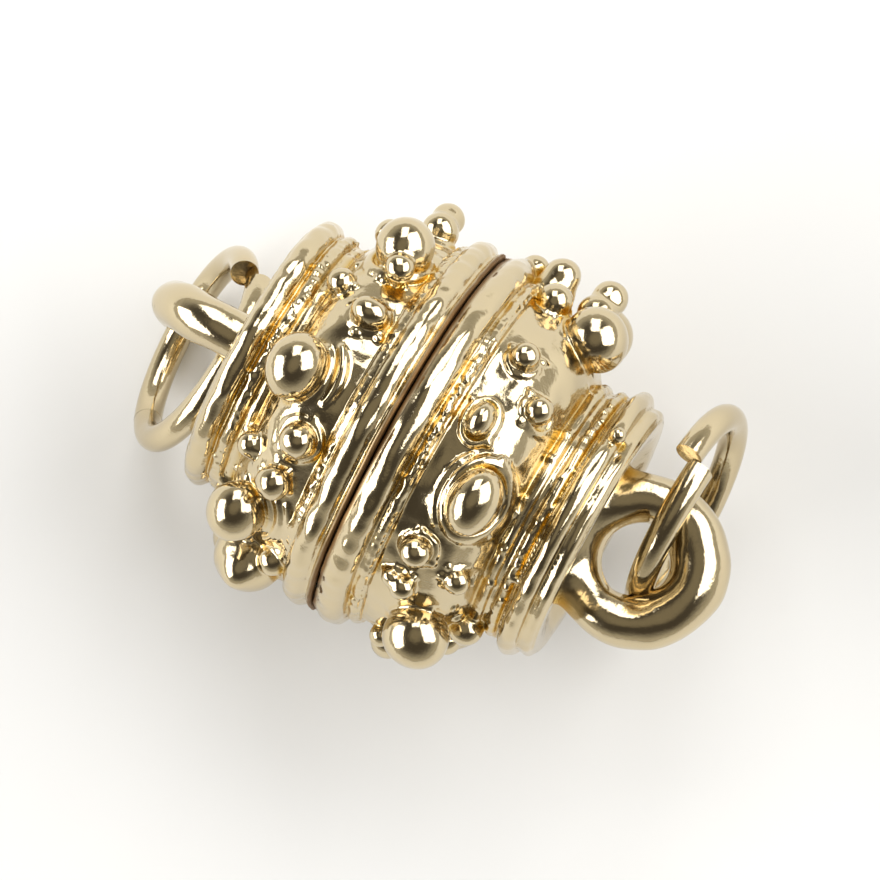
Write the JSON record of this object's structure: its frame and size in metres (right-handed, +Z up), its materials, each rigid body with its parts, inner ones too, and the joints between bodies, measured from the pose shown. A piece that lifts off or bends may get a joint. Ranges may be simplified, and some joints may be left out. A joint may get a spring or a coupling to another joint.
{
  "type": "magnetic clasp",
  "caption": "Barrel-shaped magnetic clasp: rounded cast halves with rolled rims and raised balls, a magnet in each mating face, and cast end loops that carry cut wire jump rings.",
  "frame": {"origin": "on the surface that the clasp lies on, below the middle of its length and below its axis", "axes": "+X along the clasp's axis from half A to half B, +Z up from the surface, +Y to the left of +X"},
  "size_m": [0.0227, 0.0158, 0.0152],
  "materials": {
    "plated_casting": "cast, polished and plated in a pale champagne gold, darker and grittier in the grooves",
    "plated_magnet": "nickel plate, faintly satin",
    "plated_wire": "drawn wire plated in the same pale gold"
  },
  "bodies": {
    "side_a": {"half_a": "plated_casting", "magnet_a": "plated_magnet", "jump_ring_a": "plated_wire"},
    "side_b": {"half_b": "plated_casting", "magnet_b": "plated_magnet", "jump_ring_b": "plated_wire"}
  },
  "joints": [
    {"name": "pull_apart", "type": "slide", "parent": "side_a", "child": "side_b", "axis": [1, 0, 0], "range_m": [0, 0.012]}
  ]
}
